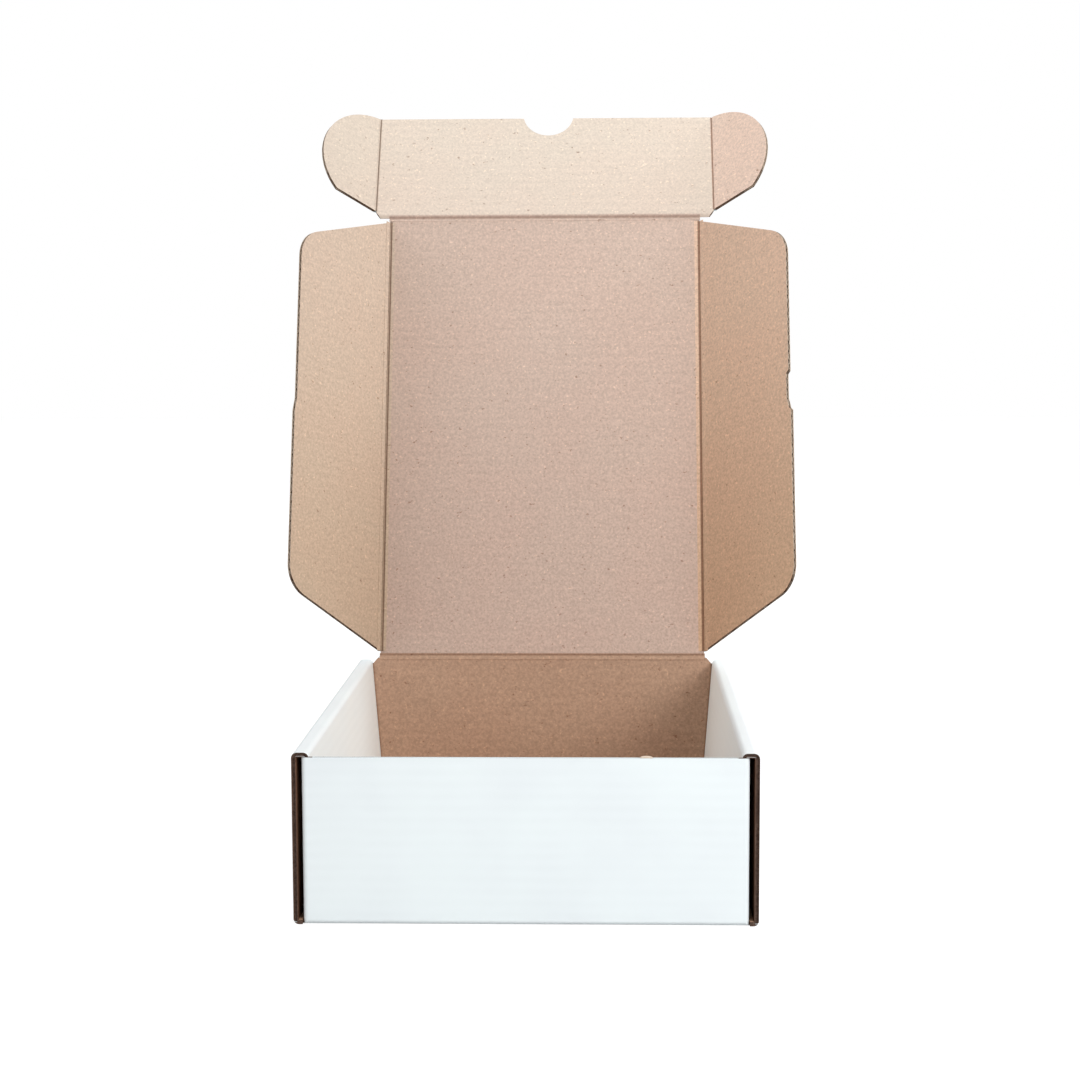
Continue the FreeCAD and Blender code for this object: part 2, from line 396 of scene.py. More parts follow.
@dataclass(frozen=True)
class KraftFinish:
    """Uncoated brown liner: pulp mottling, pale and dark fibre flecks and a faint washboard of flutes. Its
    colour is darker beside the crease and turns to its tone towards the far end, painted shade, and the
    washboard's stripes are painted light and shade.
    """

    tone: Colour
    painted_shade_tone: Colour
    contrast: float
    pitch: float = BOARD.flute_pitch * MM
    cloud_scale: float = 16.0
    cloud_share: float = 0.35
    cloud_tint: Colour = (1.03, 0.97, 0.96, 1.0)
    pulp_scale: float = 640.0
    pulp_swing: float = 0.19
    pale_scale: float = 520.0
    pale_range: tuple[float, float] = (0.66, 0.73)
    pale_tint: Colour = (1.25, 1.24, 1.2, 1.0)
    dark_scale: float = 430.0
    dark_range: tuple[float, float] = (0.67, 0.74)
    dark_tint: Colour = (0.6, 0.5, 0.45, 1.0)
    fleck_share: float = 0.9
    wash_shade_swing: float = 0.018
    fold_shade_tint: Colour = (0.22, 0.12, 0.07, 1.0)
    roughness: float = 0.85
    gloss: float = 0.2
    relief: float = 0.00006

    def material(self, name: str, across: Vector, origin: Vector, folds: Sequence[Fold] = (),
                 rise: float = LID_LENGTH * MM) -> bpy.types.Material:
        """The liner's material.

        Args:
            name: Material name.
            across: Direction across the flutes.
            origin: Point of the first flute, in metres.
            folds: Lines that run over the piece, darkened for crushed board and painted shade.
            rise: Length along across over which the darker painted-shade tone turns to the tone, in
                metres.

        Returns:
            The material.
        """
        mixer = Mixer(name)
        height = mixer.along(across, origin)
        pulp = mixer.noise(self.pulp_scale, 2.0, 0.6)
        wave = mixer.wave(height, self.pitch)
        # Painted shade: darker beside the crease, turning to the tone towards the far end.
        colour = mixer.blend(mixer.between(height, 0.0, rise), self.painted_shade_tone, self.tone)
        colour = self.mottled(mixer, colour, pulp)
        # The flutes' washboard: bumped, and painted in the colour as stripes of light and shade.
        swell = mixer.math("MULTIPLY", wave, mixer.between(mixer.noise(50.0, 2.0), 0.3, 0.7))
        wash = mixer.between(swell, -1.0, 1.0, 1.0 - self.wash_shade_swing, 1.0 + self.wash_shade_swing)
        colour = mixer.blend(1.0, colour, wash, "MULTIPLY")
        # Each fold darkens the colour: painted shade, partly crushed board.
        for fold in folds:
            gap = mixer.math("ABSOLUTE", mixer.along(fold.across, fold.origin * MM))
            shade = mixer.between(gap, 0.0, fold.width * MM, fold.depth, 0.0)
            colour = mixer.blend(shade, colour, self.fold_shade_tint, "MULTIPLY")
        mixer.set_surface(colour, self.roughness, self.gloss)
        relief = mixer.math("ADD", mixer.math("MULTIPLY", wave, 0.2), mixer.math("MULTIPLY", pulp, 0.8))
        mixer.ridges(relief, self.relief)
        return mixer.material

    def mottled(self, mixer: Mixer, colour: Value, pulp: Value) -> bpy.types.NodeSocket:
        """A colour with the liner's clouds, pulp and flecks on it.

        Args:
            mixer: Mixer of the material.
            colour: The plain colour.
            pulp: The pulp's fine noise.

        Returns:
            The mottled colour.
        """
        cloud = mixer.between(mixer.noise(self.cloud_scale, 3.0), 0.35, 0.65)
        share = mixer.math("MULTIPLY", cloud, self.cloud_share)
        colour = mixer.blend(share, colour, self.cloud_tint, "MULTIPLY")
        swing = self.pulp_swing * self.contrast
        grain = mixer.between(pulp, 0.15, 0.85, 1.0 - swing, 1.0 + swing)
        colour = mixer.blend(1.0, colour, grain, "MULTIPLY")
        pale = mixer.noise(self.pale_scale, 1.0, 0.6)
        share = mixer.between(pale, *self.pale_range, 0.0, self.fleck_share)
        colour = mixer.blend(share, colour, self.pale_tint, "MULTIPLY")
        dark = mixer.noise(self.dark_scale, 2.0, 0.6, (0.7, 1.0, 1.0))
        share = mixer.between(dark, *self.dark_range, 0.0, self.fleck_share)
        return mixer.blend(share, colour, self.dark_tint, "MULTIPLY")


@dataclass(frozen=True)
class WhiteFinish:
    """Clay-coated white liner: smooth, a little cool, with a faint washboard, bumped and painted as
    stripes of shade, and soft mottling.
    """

    tone: Colour = rgb(244, 252, 254)
    shade: Colour = rgb(240, 247, 250)
    pitch: float = BOARD.flute_pitch * MM
    cloud_scale: float = 14.0
    grain_scale: float = 900.0
    wash_shade_low: float = 0.988
    roughness: tuple[float, float] = (0.42, 0.58)
    gloss: float = 0.35
    relief: float = 0.00006

    def material(self, name: str, across: Vector, origin: Vector) -> bpy.types.Material:
        """The liner's material.

        Args:
            name: Material name.
            across: Direction across the flutes.
            origin: Point of the first flute, in metres.

        Returns:
            The material.
        """
        mixer = Mixer(name)
        cloud = mixer.between(mixer.noise(self.cloud_scale, 3.0), 0.35, 0.7)
        colour = mixer.blend(cloud, self.tone, self.shade)
        # The flutes' washboard: bumped, and painted in the colour as stripes of shade.
        wave = mixer.wave(mixer.along(across, origin), self.pitch)
        swell = mixer.math("MULTIPLY", wave, mixer.between(mixer.noise(30.0, 2.0), 0.3, 0.7))
        colour = mixer.blend(1.0, colour, mixer.between(swell, -1.0, 1.0, self.wash_shade_low, 1.0), "MULTIPLY")
        grain = mixer.noise(self.grain_scale, 3.0, 0.6)
        mixer.set_surface(colour, mixer.between(grain, 0.3, 0.7, *self.roughness), self.gloss)
        relief = mixer.math("ADD", mixer.math("MULTIPLY", wave, 0.3), mixer.math("MULTIPLY", grain, 0.2))
        mixer.ridges(relief, self.relief)
        return mixer.material


@dataclass(frozen=True)
class CutFinish:
    """Die-cut edge: crushed, fibrous and darker than the liners, with the fluting in shade."""

    tone: Colour = rgb(104, 84, 74)
    deep: Colour = rgb(74, 56, 48)
    torn_scale: float = 650.0
    patch_scale: float = 60.0
    patch_share: float = 0.6
    roughness: float = 0.9
    gloss: float = 0.15
    relief: float = 0.0003

    def material(self, name: str) -> bpy.types.Material:
        """The cut edge's material.

        Args:
            name: Material name.

        Returns:
            The material.
        """
        mixer = Mixer(name)
        torn = mixer.noise(self.torn_scale, 5.0, 0.7)
        patch = mixer.noise(self.patch_scale, 2.0)
        colour = mixer.blend(mixer.between(torn, 0.35, 0.65), self.deep, self.tone)
        share = mixer.between(patch, 0.45, 0.7, 0.0, self.patch_share)
        mixer.set_surface(mixer.blend(share, colour, self.deep), self.roughness, self.gloss)
        mixer.ridges(torn, self.relief)
        return mixer.material


class PaintedLightTone(Enum):
    """Kraft colour of each panel, at its far end and beside its crease, and how strong its grain is. Both
    colours hold painted light and shade: each panel is made lighter or darker for the light that falls on
    it.
    """

    LID = (rgb(208, 186, 172), rgb(195, 171, 157), 0.9)
    TUCK = (rgb(230, 217, 202), rgb(226, 211, 196), 0.6)
    LEFT_WING = (rgb(205, 185, 167), rgb(192, 169, 146), 0.85)
    RIGHT_WING = (rgb(229, 199, 176), rgb(202, 168, 139), 1.0)
    LEFT_EAR = (rgb(218, 205, 190), rgb(214, 200, 185), 0.6)
    RIGHT_EAR = (rgb(240, 216, 199), rgb(237, 211, 194), 0.9)
    TRAY = (rgb(182, 150, 127), rgb(176, 143, 119), 1.0)
    # Painted shade: dark kraft for the slots and the roll's underside.
    HIDDEN = (rgb(120, 86, 64), rgb(96, 66, 48), 1.0)

    def finish(self) -> KraftFinish:
        """The kraft finish in this colour."""
        return KraftFinish(*self.value)


def deselect_all() -> None:
    """Leaves object mode with nothing selected."""
    if bpy.context.mode != "OBJECT":
        bpy.ops.object.mode_set(mode="OBJECT")
    bpy.ops.object.select_all(action="DESELECT")


def take_up(piece: bpy.types.Object) -> None:
    """Makes a piece the only selected and active one.

    Args:
        piece: The piece.
    """
    deselect_all()
    piece.select_set(True)
    bpy.context.view_layer.objects.active = piece


def board_copy(node: str, name: str) -> bpy.types.Object:
    """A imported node's own shape as a new piece, with its loose triangles merged into whole faces.

    Args:
        node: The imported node.
        name: Name of the new piece.

    Returns:
        The new piece, which stands for the node.
    """
    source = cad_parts[node]
    piece = bpy.data.objects.new(name, source.data.copy())
    piece.data.name = name
    bpy.context.scene.collection.objects.link(piece)
    piece.data.materials.clear()
    take_up(piece)
    if piece.data.has_custom_normals:
        bpy.ops.mesh.customdata_custom_splitnormals_clear()
    bpy.ops.object.mode_set(mode="EDIT")
    bpy.ops.mesh.select_all(action="SELECT")
    bpy.ops.mesh.remove_doubles(threshold=MERGE_GAP)
    bpy.ops.mesh.dissolve_limited(angle_limit=FLAT_ANGLE)
    bpy.ops.object.mode_set(mode="OBJECT")
    bpy.ops.object.shade_smooth_by_angle(angle=SMOOTH_ANGLE)
    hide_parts(node)
    return piece


def paint(piece: bpy.types.Object, finishes: Sequence[bpy.types.Material],
          zones: Iterable[Zone]) -> None:
    """Gives a piece its finishes and each face its zone.

    Args:
        piece: The piece.
        finishes: Materials in the order of the zones' values.
        zones: One zone for each face.
    """
    for finish in finishes:
        piece.data.materials.append(finish)
    for face, zone in zip(piece.data.polygons, zones):
        face.material_index = zone.value


def paper_strip(name: str, start: Vector, way: Vector, profile: Sequence[Vector],
                thickness: float) -> bpy.types.Object:
    """A strip of liner along a crease, drawn out edge by edge and given its thickness.

    Args:
        name: Name of the piece.
        start: Point that the profile's offsets are counted from.
        way: The crease, from end to end.
        profile: Offsets of the strip's visible surface, across the crease.
        thickness: Of the paper, in metres, on the hidden side.

    Returns:
        The strip.
    """
    deselect_all()
    bpy.ops.mesh.primitive_plane_add(size=MM)
    strip = bpy.context.object
    strip.name = name
    strip.data.name = name
    bpy.ops.object.mode_set(mode="EDIT")
    bpy.ops.mesh.select_all(action="DESELECT")
    bpy.ops.object.mode_set(mode="OBJECT")
    for vertex in list(strip.data.vertices)[2:]:
        vertex.select = True
    bpy.ops.object.mode_set(mode="EDIT")
    bpy.ops.mesh.delete(type="VERT")
    bpy.ops.object.mode_set(mode="OBJECT")
    first, second = strip.data.vertices
    first.co = start + profile[0]
    second.co = start + profile[0] + way
    bpy.ops.object.mode_set(mode="EDIT")
    bpy.ops.mesh.select_all(action="SELECT")
    for before, after in zip(profile, profile[1:]):
        bpy.ops.mesh.extrude_edges_move(TRANSFORM_OT_translate={"value": after - before})
    bpy.ops.object.mode_set(mode="OBJECT")
    wall = strip.modifiers.new("thickness", "SOLIDIFY")
    wall.thickness = thickness
    wall.offset = -1.0
    bpy.ops.object.modifier_apply(modifier=wall.name)
    bpy.ops.object.shade_smooth_by_angle(angle=STRIP_SMOOTH_ANGLE)
    bpy.ops.object.mode_set(mode="EDIT")
    bpy.ops.mesh.select_all(action="SELECT")
    bpy.ops.mesh.normals_make_consistent(inside=False)
    bpy.ops.object.mode_set(mode="OBJECT")
    return strip


@dataclass
class FlatFlap:
    """A flat panel of the lid: its board, with a kraft side, a white side and cut edges."""

    node: str
    panel: Panel
    tone: PaintedLightTone
    across: Vector
    folds: Sequence[Fold]
    crush: float = BOARD.wing_crush
    rise: float = LID_LENGTH * MM
    # Cut edges painted pale where they face up, painted light, and dark where they face down, painted
    # shade.
    cut: CutFinish = CutFinish(rgb(206, 190, 172), rgb(176, 154, 134))
    shaded_cut: CutFinish = CutFinish(rgb(112, 88, 70), rgb(80, 60, 48))

    def zone(self, centre: Vector, normal: Vector) -> Zone:
        """What a face shows.

        Args:
            centre: The face's middle, in metres.
            normal: Its direction.

        Returns:
            The zone.
        """
        height = self.panel.height(centre)
        facing = normal.dot(self.panel.normal)
        flat = BOARD.half - abs(height) < ON_FACE and abs(facing) > 0.9
        crushed = abs(facing) > 0.25 and height * facing > 0 and self.by_crease(centre)
        if flat or crushed:
            return Zone.KRAFT if facing > 0 else Zone.WHITE
        # Painted shade: cut faces that point down take the dark finish.
        return Zone.SHADED if normal.z < -0.12 else Zone.CUT

    def by_crease(self, centre: Vector) -> bool:
        """Whether a point lies in the crushed board beside this flap's crease.

        Args:
            centre: The point, in metres.

        Returns:
            True if it does.
        """
        return (centre / MM - self.panel.origin).dot(self.panel.away) < self.crush + BY_CREASE

    def build(self) -> bpy.types.Object:
        """The flap's board, dressed and riding on its body.

        Returns:
            The piece.
        """
        piece = board_copy(self.node, self.node + "_board")
        origin = self.panel.origin * MM
        kraft = self.tone.finish()
        finishes = [kraft.material(self.node + "_kraft", self.across, origin, self.folds, self.rise),
                    WhiteFinish().material(self.node + "_white", self.across, origin),
                    self.cut.material(self.node + "_cut"),
                    self.shaded_cut.material(self.node + "_shaded_cut")]
        paint(piece, finishes, [self.zone(face.center, face.normal) for face in piece.data.polygons])
        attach(piece, self.node)
        log.info("%s: %d faces", piece.name, len(piece.data.polygons))
        return piece


@dataclass
class LidPanel(FlatFlap):
    """The lid, which has a crease on each of its four sides."""

    def by_crease(self, centre: Vector) -> bool:
        """Whether a point lies in the crushed board beside one of the four creases.

        Args:
            centre: The point, in metres.

        Returns:
            True if it does.
        """
        offset = centre / MM - self.panel.origin
        beside = LID_HALF - abs(offset.x)
        above = offset.dot(LID_UP)
        at_end = min(above, LID_LENGTH - above) < BOARD.tuck_crush + BY_CREASE
        return at_end or beside < self.crush + BY_CREASE


@dataclass
class TuckPanel(FlatFlap):
    """The tuck flap, creased to the lid and to both ears."""

    def by_crease(self, centre: Vector) -> bool:
        """Whether a point lies in the crushed board beside one of the three creases.

        Args:
            centre: The point, in metres.

        Returns:
            True if it does.
        """
        offset = centre / MM - self.panel.origin
        return min(EAR_MID - abs(offset.x), offset.dot(TUCK_UP)) < BOARD.tuck_crush + BY_CREASE


@dataclass(frozen=True)
class Bead:
    """Ridge that the die raises beside a crease, on the first panel."""

    middle: float
    half_width: float
    height: float
    foot: float = 0.14

    def offsets(self, panel: Panel) -> list[Vector]:
        """The ridge's section on a panel, from its board to beside the groove.

        Args:
            panel: The panel.

        Returns:
            The offsets, in mm.
        """
        offsets = []
        for step in range(13):
            share = step / 6 - 1
            away = self.middle - self.half_width * share
            height = BOARD.half - self.foot + self.height * (1 + math.cos(math.pi * share)) / 2
            offsets.append(panel.away * away + panel.normal * height)
        return offsets


@dataclass
class Crease:
    """Paper that bridges two panels: a liner strip on the kraft side and one on the white side."""

    name: str
    first: Panel
    second: Panel
    bodies: tuple[str, str]
    start: float
    end: float
    inside: float
    tone: PaintedLightTone
    across: Vector
    base: Vector
    folds: Sequence[Fold]
    lip: float = 0.55
    sunk: float = 0.5
    white_sunk: float = 0.12
    bead: Optional[Bead] = None
    rise: float = LID_LENGTH * MM
    paper: float = 0.25

    def slope(self, panel: Panel, reach: float, face: int, corner: float, sunk: float) -> list[Vector]:
        """Offsets of the strip on one panel, from its board to beside the crease.

        Args:
            panel: The panel.
            reach: Where the strip meets the panel's board.
            face: 1 on the kraft side and -1 on the white side.
            corner: Where the two panels' faces would meet.
            sunk: Depth of the groove at its middle.

        Returns:
            The offsets, in mm.
        """
        level = face * BOARD.half
        offsets = [(reach, level)]
        lip = min(self.lip, reach - corner - 0.05)
        for share in (1.0, 0.8, 0.6, 0.4, 0.2):
            depth = sunk * (1 + math.cos(math.pi * share)) / 2
            offsets.append((corner + lip * share, level - face * depth))
        return [panel.away * away + panel.normal * height for away, height in offsets]

    def profile(self, reach: float, face: int) -> list[Vector]:
        """Offsets across the crease, from the first panel's board to the second's.

        Args:
            reach: How far the strip goes into each panel.
            face: Side of the board that the strip continues, 1 for kraft and -1 for white.

        Returns:
            Offsets from the crease's middle line, in metres.
        """
        middle = (self.first.normal + self.second.normal).normalized()
        opening = face * (self.second.away + self.first.away).dot(middle) > 0
        lap = BOARD.half / middle.dot(self.first.normal)
        corner = math.sqrt(max(lap ** 2 - BOARD.half ** 2, 0.0)) if opening else 0.0
        sunk = self.sunk if face > 0 else self.white_sunk
        peak = lap - sunk if opening else BOARD.half - sunk
        points = self.slope(self.first, reach, face, corner, sunk)
        if self.bead and face > 0:
            points = self.bead.offsets(self.first) + points[3:]
        points.append(middle * (face * peak))
        points += list(reversed(self.slope(self.second, reach, face, corner, sunk)))
        return [point * MM for point in points]

    def build(self) -> list[bpy.types.Object]:
        """Both strips, dressed and bending with the joint.

        Returns:
            Both strips, dressed.
        """
        strips = []
        origin = self.second.origin * MM
        base = self.base * MM
        begin = origin + self.second.along * (self.start * MM)
        way = self.second.along * ((self.end - self.start) * MM)
        for face, reach, label in ((1, self.inside, "kraft"), (-1, BOARD.lid_crush, "white")):
            offsets = self.profile(reach, face)
            strip = paper_strip(f"{self.name}_{label}", begin, way, offsets, self.paper * MM)
            if face > 0:
                finish = self.tone.finish().material(strip.name, self.across, base, self.folds, self.rise)
            else:
                finish = WhiteFinish().material(strip.name, self.across, base)
            strip.data.materials.append(finish)
            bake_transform(strip)
            strips.append(strip)
            log.info("%s: %d faces", strip.name, len(strip.data.polygons))
        return strips


@dataclass(frozen=True)
class Lid:
    """The lid's panel and the crease that hangs it on the back wall.

    A fold is given by its width and depth, and fold_above is its distance into the lid, in mm.
    """

    # The folds darken the lid by its creases: painted shade of the grooves, partly crushed board.
    foot_fold: tuple[float, float] = (3.0, 0.25)
    top_fold: tuple[float, float] = (3.0, 0.12)
    side_fold: tuple[float, float] = (1.0, 0.25)
    fold: tuple[float, float] = (1.6, 0.3)
    fold_above: float = 0.6
    lip: float = 1.25
    sunk: float = 0.75
    bead: Bead = Bead(2.0, 1.0, 0.3)

    def build(self) -> None:
        """The panel and its crease."""
        folds = [Fold(HINGE, LID_UP, *self.foot_fold), Fold(TUCK.origin, LID_UP, *self.top_fold)]
        for side in Side:
            folds.append(Fold(HINGE + X_AXIS * LID_HALF * side.value, X_AXIS, *self.side_fold))
        LidPanel("lid", LID, PaintedLightTone.LID, LID_UP, folds).build()
        wall = Panel(HINGE, X_AXIS, -UP, Vector((0.0, -1.0, 0.0)))
        groove = Fold(HINGE + LID_UP * self.fold_above, LID_UP, *self.fold)
        Crease("lid_crease", wall, LID, ("tray", "lid"), -LID_HALF, LID_HALF, BOARD.lid_crush,
               PaintedLightTone.TRAY, LID_UP, HINGE - LID_UP * HINGE.z, [groove], lip=self.lip, sunk=self.sunk,
               bead=self.bead, rise=HINGE.z * MM).build()


@dataclass(frozen=True)
class TuckFlap:
    """The tuck flap's panel and the crease that joins it to the lid, with its sizes as in the lid."""

    # The folds darken the tuck by its creases: painted shade of the grooves, partly crushed board.
    foot_fold: tuple[float, float] = (4.2, 0.3)
    side_fold: tuple[float, float] = (1.0, 0.3)
    fold: tuple[float, float] = (2.0, 0.5)
    fold_above: float = 0.7
    lip: float = 2.1
    sunk: float = 1.0

    def build(self) -> None:
        """The panel and its crease."""
        folds = [Fold(TUCK.origin, TUCK_UP, *self.foot_fold)]
        for side in Side:
            folds.append(Fold(HINGE + X_AXIS * EAR_MID * side.value, X_AXIS, *self.side_fold))
        TuckPanel("tuck_flap", TUCK, PaintedLightTone.TUCK, TUCK_UP, folds, BOARD.lid_crush, TUCK_HEIGHT * MM).build()
        lid_top = Panel(TUCK.origin, X_AXIS, -LID_UP, LID_NORMAL)
        groove = Fold(TUCK.origin + LID_UP * self.fold_above, LID_UP, *self.fold)
        # Painted shade: the crease's strip takes the lid's darker tone over the tuck's side, and its
        # groove fold darkens it further.
        Crease("tuck_crease", lid_top, TUCK, ("lid", "tuck_flap"), -LID_HALF, LID_HALF,
               BOARD.tuck_crush, PaintedLightTone.LID, LID_UP, HINGE, [groove], lip=self.lip, sunk=self.sunk).build()


@dataclass(frozen=True)
class Wing:
    """A side flap of the lid and its crease.

    The bend is in degrees from the lid's plane, and the inset is where the crease starts and ends.
    """

    side: Side
    bend: float
    tone: PaintedLightTone
    inset: float = 3.0
    # The fold and groove darken the wing by its crease: painted shade of the groove, partly crushed board.
    fold: tuple[float, float] = (0.7, 0.4)
    groove: tuple[float, float] = (0.5, 0.7)

    def build(self) -> None:
        """The panel and its crease."""
        node = self.side.name.lower() + "_wing"
        wing = side_panel(LID, LID_HALF, self.side, self.bend)
        fold = Fold(wing.origin, wing.away, *self.fold)
        groove = Fold(wing.origin, wing.away, *self.groove)
        FlatFlap(node, wing, self.tone, LID_UP, [fold]).build()
        lid_side = Panel(wing.origin, LID_UP, X_AXIS * -self.side.value, LID_NORMAL)
        Crease(node + "_crease", lid_side, wing, ("lid", node), self.inset, LID_LENGTH - self.inset,
               BOARD.wing_crush, self.tone, LID_UP, HINGE, [fold, groove]).build()


@dataclass(frozen=True)
class Ear:
    """A round lug at the tuck flap's end and its crease, which starts above the flap's foot."""

    side: Side
    tone: PaintedLightTone
    bend: float = 35.0
    start: float = 6.4
    # The fold and groove darken the ear by its crease: painted shade of the groove, partly crushed board.
    fold: tuple[float, float] = (0.9, 0.35)
    groove: tuple[float, float] = (0.6, 0.45)

    def build(self) -> None:
        """The panel and its crease."""
        node = self.side.name.lower() + "_ear"
        rise = TUCK_HEIGHT * MM
        ear = side_panel(TUCK, EAR_MID, self.side, self.bend)
        fold = Fold(ear.origin, ear.away, *self.fold)
        groove = Fold(ear.origin, ear.away, *self.groove)
        FlatFlap(node, ear, self.tone, TUCK_UP, [fold], BOARD.lid_crush, rise).build()
        tuck_side = Panel(ear.origin, TUCK_UP, X_AXIS * -self.side.value, TUCK_NORMAL)
        Crease(node + "_crease", tuck_side, ear, ("tuck_flap", node), self.start, TUCK_HEIGHT,
               BOARD.lid_crush, self.tone, TUCK_UP, TUCK.origin, [fold, groove], rise=rise).build()


@dataclass
class Tray:
    """The tray, one folded sheet: base, double side walls, front wall and back wall.

    Its sizes are where the walls' faces lie: heights, half widths and the whole inner depth. A face
    is near another place within near, and on it within touch.
    """

    inner_depth: float = 305.0
    side_height: float = 92.4
    front_half: float = 117.88
    roll_under: float = 89.85
    flap_face: float = 115.48
    side_face: float = 123.08
    inner_half: float = 114.0
    inner_foot: float = 106.0
    roll_half: float = 111.0
    fold_rise: float = 3.0
    # Painted shade: a band below the lid's crease, and one in each corner beside an inner layer.
    hinge_fold: tuple[float, float] = (2.6, 0.12)
    corner_shade_fold: tuple[float, float] = (1.6, 0.5)
    lean: float = math.radians(4.4)
    near: float = 0.1
    touch: float = 0.05

    def zone(self, centre: Vector, normal: Vector) -> Zone:
        """What a face shows.

        Args:
            centre: The face's middle, in metres.
            normal: Its direction.

        Returns:
            The zone.
        """
        offset, y, z = centre / MM
        outward = normal.x if offset > 0 else -normal.x
        x = abs(offset)
        end = self.inner_depth / 2
        inside = x < self.side_face - self.near
        by_slot = x > self.front_half + self.near
        if abs(normal.z) > 0.95 and abs(z - BOARD.thickness) < self.touch:
            return Zone.KRAFT
        floor_fold = inside and abs(y) < end + self.near and z < BOARD.thickness + self.fold_rise
        # Fold bottoms in the slots take the kraft painted dark as shade.
        if floor_fold and normal.z > 0.15:
            return Zone.KRAFT if x < self.front_half else Zone.HIDDEN
        if x < self.front_half and abs(abs(y) - end) < self.touch and y * normal.y < -0.9 * end:
            return Zone.KRAFT
        # Painted shade: cut faces at the roll's end and beside the slot, above the roll's foot, take the
        # near-black cut.
        roll_end = x > self.roll_half and z > self.roll_under + 0.02
        if abs(normal.y) > 0.95 and (by_slot or roll_end):
            return Zone.SHADED if z > self.roll_under - BOARD.thickness else Zone.CUT
        # Painted shade: kraft inside the slot beside the front wall.
        if inside and by_slot and outward < -0.3:
            return Zone.HIDDEN
        inner_layer = self.inner_foot < x < self.flap_face - 0.01
        if inner_layer and BOARD.thickness < z < self.roll_under + self.near and outward > 0.9:
            return Zone.KRAFT
        # Painted shade: faces under the roll.
        if normal.z < -0.5 and z > self.roll_under - BOARD.half:
            return Zone.HIDDEN
        if normal.z > 0.9 and self.roll_under - BOARD.half < z < self.roll_under + self.touch:
            return Zone.CUT
        # Painted light: inner white faces take the brighter white.
        if x < self.flap_face and outward < -0.8 and z < self.roll_under:
            return Zone.INNER
        return Zone.WHITE

    def folds(self) -> list[Fold]:
        """The darkened lines: painted shade below the lid's crease, partly crushed board, and painted
        shade in each corner along the plane of each inner layer's face.

        Returns:
            The lines.
        """
        folds = [Fold(HINGE, UP, *self.hinge_fold)]
        for side in Side:
            top = Vector((self.inner_half * side.value, 0.0, self.side_height))
            slope = Vector((side.value, 0.0, -math.tan(self.lean))).normalized()
            folds.append(Fold(top, slope, *self.corner_shade_fold))
        return folds

    def build(self) -> bpy.types.Object:
        """The tray's board, dressed and riding on its body.

        Returns:
            The piece.
        """
        piece = board_copy("tray", "tray_board")
        base = HINGE * MM - UP * HINGE.z * MM
        rise = HINGE.z * MM
        # Painted light: the inner white is made brighter than the outer white, to light the box's shaded
        # inside.
        inner_lit_white = WhiteFinish(rgb(248, 255, 255), rgb(246, 254, 255))
        finishes = [PaintedLightTone.TRAY.finish().material("tray_kraft", UP, base, self.folds(), rise),
                    WhiteFinish().material("tray_white", UP, Vector()),
                    CutFinish().material("tray_cut"),
                    # Painted shade: near-black cut for the roll's shadowed end.
                    CutFinish(rgb(62, 42, 36), rgb(34, 20, 16)).material("tray_shaded_cut"),
                    inner_lit_white.material("tray_inner_lit_white", UP, Vector()),
                    PaintedLightTone.HIDDEN.finish().material("tray_hidden_kraft", UP, base, (), rise)]
        paint(piece, finishes, [self.zone(face.center, face.normal) for face in piece.data.polygons])
        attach(piece, "tray")
        log.info("%s: %d faces", piece.name, len(piece.data.polygons))
        return piece


@dataclass(frozen=True)
class TornLiner:
    """A small tuft that the die has pulled up on the front wall's top edge; sizes in mm."""

    place: Triple = (63.7, -153.9, 90.0)
    reach: Triple = (3.3, 0.7, 1.0)
    finish: CutFinish = CutFinish(rgb(240, 226, 208), rgb(222, 202, 182))

    def build(self) -> bpy.types.Object:
        """The tuft, riding on the tray.

        Returns:
            The piece.
        """
        deselect_all()
        bpy.ops.mesh.primitive_uv_sphere_add(segments=24, ring_count=12, radius=1.0)
        tuft = bpy.context.object
        tuft.name = "torn_liner"
        bpy.ops.object.mode_set(mode="EDIT")
        bpy.ops.mesh.select_all(action="SELECT")
        bpy.ops.transform.resize(value=tuple(length * MM for length in self.reach))
        bpy.ops.transform.translate(value=tuple(distance * MM for distance in self.place))
        bpy.ops.object.mode_set(mode="OBJECT")
        bpy.ops.object.shade_smooth()
        tuft.data.materials.append(self.finish.material("torn_liner"))
        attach(tuft, "tray")
        log.info("%s: %d faces", tuft.name, len(tuft.data.polygons))
        return tuft


@dataclass(frozen=True)
class Lamp:
    """A square soft lamp: its place, what it points at, its side and its power in watts."""

    name: str
    place: Triple
    aim: Triple
    size: float
    power: float

    def build(self) -> None:
        """The lamp, pointed at its aim."""
        data = bpy.data.lights.new(self.name, "AREA")
        data.size = self.size
        data.energy = self.power
        lamp = bpy.data.objects.new(self.name, data)
        bpy.context.scene.collection.objects.link(lamp)
        place = Vector(self.place)
        turn = (Vector(self.aim) - place).to_track_quat("-Z", "Y")
        lamp.matrix_world = Matrix.Translation(place) @ turn.to_matrix().to_4x4()


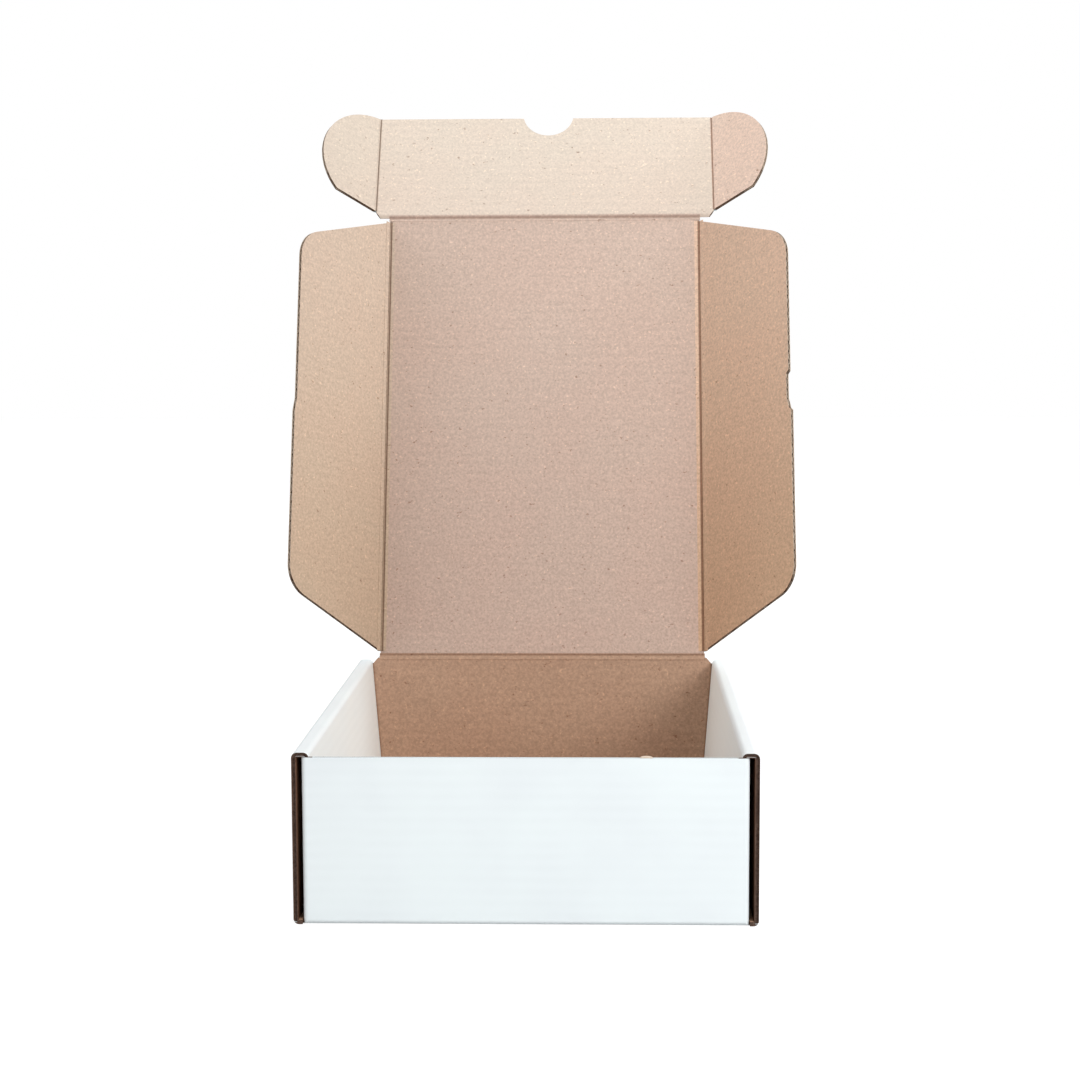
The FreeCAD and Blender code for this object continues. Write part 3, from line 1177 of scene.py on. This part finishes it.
@dataclass
class Studio:
    """Camera at the photograph's view, a pale floor and soft studio light; lengths in metres."""

    eye: Triple = (0.0414, -1.2302, 0.3148)
    yaw: float = -0.03065
    pitch: float = 0.10197
    roll: float = -0.00375
    lens: float = 69.55
    floor_size: float = 12.0
    floor_shade: Colour = (0.5, 0.5, 0.5, 1.0)
    floor_glow: float = 0.68
    sky: Colour = (1.0, 0.99, 0.98, 1.0)
    sky_strength: float = 0.524
    backdrop: Colour = (1.0, 1.0, 1.0, 1.0)
    seen_by: tuple[str, ...] = ("Is Camera Ray", "Is Glossy Ray", "Is Transmission Ray")
    lamps: tuple[Lamp, ...] = (
        Lamp("key_lamp", (1.0, -1.5, 1.0), (0.0, 0.1, 0.2), 0.9, 16.1),
        Lamp("second_key_lamp", (1.35, -1.1, 1.0), (0.0, 0.1, 0.2), 0.9, 6.5),
        Lamp("side_lamp", (1.7, 0.3, 1.4), (-0.1, 0.1, 0.1), 0.6, 10.5),
        Lamp("left_lamp", (-1.6, -0.6, 1.0), (0.0, 0.1, 0.2), 0.9, 6.8),
        Lamp("back_lamp", (0.3, 2.6, 1.0), (0.0, 0.1, 0.2), 1.6, 6.0),
    )

    def build(self) -> None:
        """Camera, floor, world and lamps."""
        self.camera()
        self.floor()
        self.world()
        for lamp in self.lamps:
            lamp.build()
        bpy.context.scene.view_settings.view_transform = "Standard"

    def camera(self) -> None:
        """The photograph's camera."""
        forward = Vector((math.sin(self.yaw) * math.cos(self.pitch),
                          math.cos(self.yaw) * math.cos(self.pitch), -math.sin(self.pitch)))
        right = Vector((math.cos(self.yaw), -math.sin(self.yaw), 0.0))
        up = right.cross(forward)
        turned_right = right * math.cos(self.roll) + up * math.sin(self.roll)
        turned_up = up * math.cos(self.roll) - right * math.sin(self.roll)
        data = bpy.data.cameras.new("photo_camera")
        data.lens = self.lens
        data.sensor_width = 36.0
        data.clip_end = 100.0
        camera = bpy.data.objects.new("photo_camera", data)
        bpy.context.scene.collection.objects.link(camera)
        turn = Matrix((turned_right, turned_up, -forward)).transposed()
        camera.matrix_world = Matrix.Translation(self.eye) @ turn.to_4x4()
        bpy.context.scene.camera = camera

    def seen(self, tree: bpy.types.NodeTree) -> bpy.types.NodeSocket:
        """A value of 1 for the rays that see the white background and 0 for those that only light.

        Args:
            tree: Node tree that gets the nodes.

        Returns:
            The socket.
        """
        rays = tree.nodes.new("ShaderNodeLightPath").outputs
        seen = rays[self.seen_by[0]]
        for kind in self.seen_by[1:]:
            either = tree.nodes.new("ShaderNodeMath")
            either.operation = "MAXIMUM"
            tree.links.new(seen, either.inputs[0])
            tree.links.new(rays[kind], either.inputs[1])
            seen = either.outputs[0]
        return seen

    def floor(self) -> None:
        """A pale floor that the camera sees almost white, with the object's shadow on it."""
        deselect_all()
        bpy.ops.mesh.primitive_plane_add(size=self.floor_size)
        floor = bpy.context.object
        floor.name = "floor"
        mixer = Mixer("pale_floor")
        mixer.shader.inputs["Base Color"].default_value = self.floor_shade
        mixer.shader.inputs["Roughness"].default_value = 0.9
        glow = mixer.add("ShaderNodeEmission")
        strength = mixer.math("MULTIPLY", self.seen(mixer.tree), self.floor_glow)
        mixer.join(glow.inputs["Strength"], strength)
        both = mixer.add("ShaderNodeAddShader")
        mixer.join(both.inputs[0], mixer.shader.outputs[0])
        mixer.join(both.inputs[1], glow.outputs[0])
        mixer.join(mixer.tree.nodes["Material Output"].inputs["Surface"], both.outputs[0])
        floor.data.materials.append(mixer.material)

    def world(self) -> None:
        """White behind the object, and an even soft light on it."""
        world = bpy.data.worlds.new("studio_world")
        bpy.context.scene.world = world
        world.use_nodes = True
        tree = world.node_tree
        tree.nodes.clear()
        output = tree.nodes.new("ShaderNodeOutputWorld")
        light = tree.nodes.new("ShaderNodeBackground")
        light.inputs["Color"].default_value = self.sky
        light.inputs["Strength"].default_value = self.sky_strength
        white = tree.nodes.new("ShaderNodeBackground")
        white.inputs["Color"].default_value = self.backdrop
        mix = tree.nodes.new("ShaderNodeMixShader")
        tree.links.new(self.seen(tree), mix.inputs[0])
        tree.links.new(light.outputs[0], mix.inputs[1])
        tree.links.new(white.outputs[0], mix.inputs[2])
        tree.links.new(mix.outputs[0], output.inputs["Surface"])


def main() -> None:
    """Builds the mailer box piece by piece."""
    Studio().build()
    Tray().build()
    TornLiner().build()
    Lid().build()
    TuckFlap().build()
    Wing(Side.LEFT, 51.5, PaintedLightTone.LEFT_WING).build()
    Ear(Side.LEFT, PaintedLightTone.LEFT_EAR).build()
    Wing(Side.RIGHT, 49.5, PaintedLightTone.RIGHT_WING).build()
    Ear(Side.RIGHT, PaintedLightTone.RIGHT_EAR).build()


if __name__ == "__main__":
    main()
